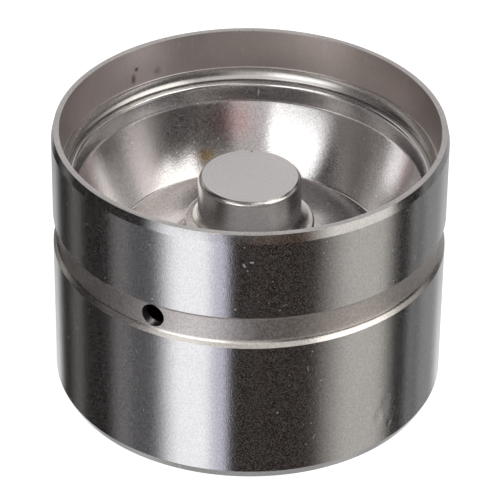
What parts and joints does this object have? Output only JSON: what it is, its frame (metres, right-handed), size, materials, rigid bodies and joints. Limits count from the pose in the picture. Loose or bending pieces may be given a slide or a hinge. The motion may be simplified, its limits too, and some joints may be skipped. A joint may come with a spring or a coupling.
{
  "type": "hydraulic bucket tappet",
  "caption": "Hydraulic bucket valve tappet, open end up: ground skirt with oil groove, pressed web, sliding pressure cylinder and non-return valve.",
  "frame": {"origin": "centre of the cam face, the flat outside of the crown, on which the tappet stands", "axes": "+Z along the axis, from the cam face towards the open end and the valve stem; the oil hole is at 241.4 degrees from +X about +Z"},
  "size_m": [0.035, 0.035, 0.0255],
  "materials": {
    "ground_steel": "ground, semi-bright",
    "pressed_steel": "bright rolled sheet",
    "turned_steel": "fine turned and lapped",
    "spring_steel": "drawn wire",
    "polished_steel": "polished"
  },
  "bodies": {
    "housing": {"bucket_housing": "ground_steel", "guide_web": "pressed_steel", "plunger": "turned_steel", "ball_cap": "pressed_steel", "ball_spring": "spring_steel", "return_spring": "spring_steel"},
    "cylinder": {"pressure_cylinder": "turned_steel", "retaining_ring": "spring_steel"},
    "ball": {"check_ball": "polished_steel"}
  },
  "joints": [
    {"name": "cylinder_slide", "type": "slide", "parent": "housing", "child": "cylinder", "axis": [0, 0, 1], "range_m": [-0.0024, 0], "stiffness_N_per_m": 1000, "springref_m": 0.0004, "deforming": ["return_spring"]},
    {"name": "ball_lift", "type": "slide", "parent": "housing", "child": "ball", "axis": [0, 0, 1], "range_m": [0, 0.00025], "stiffness_N_per_m": 20, "springref_m": -0.0002, "deforming": ["ball_spring"]}
  ]
}
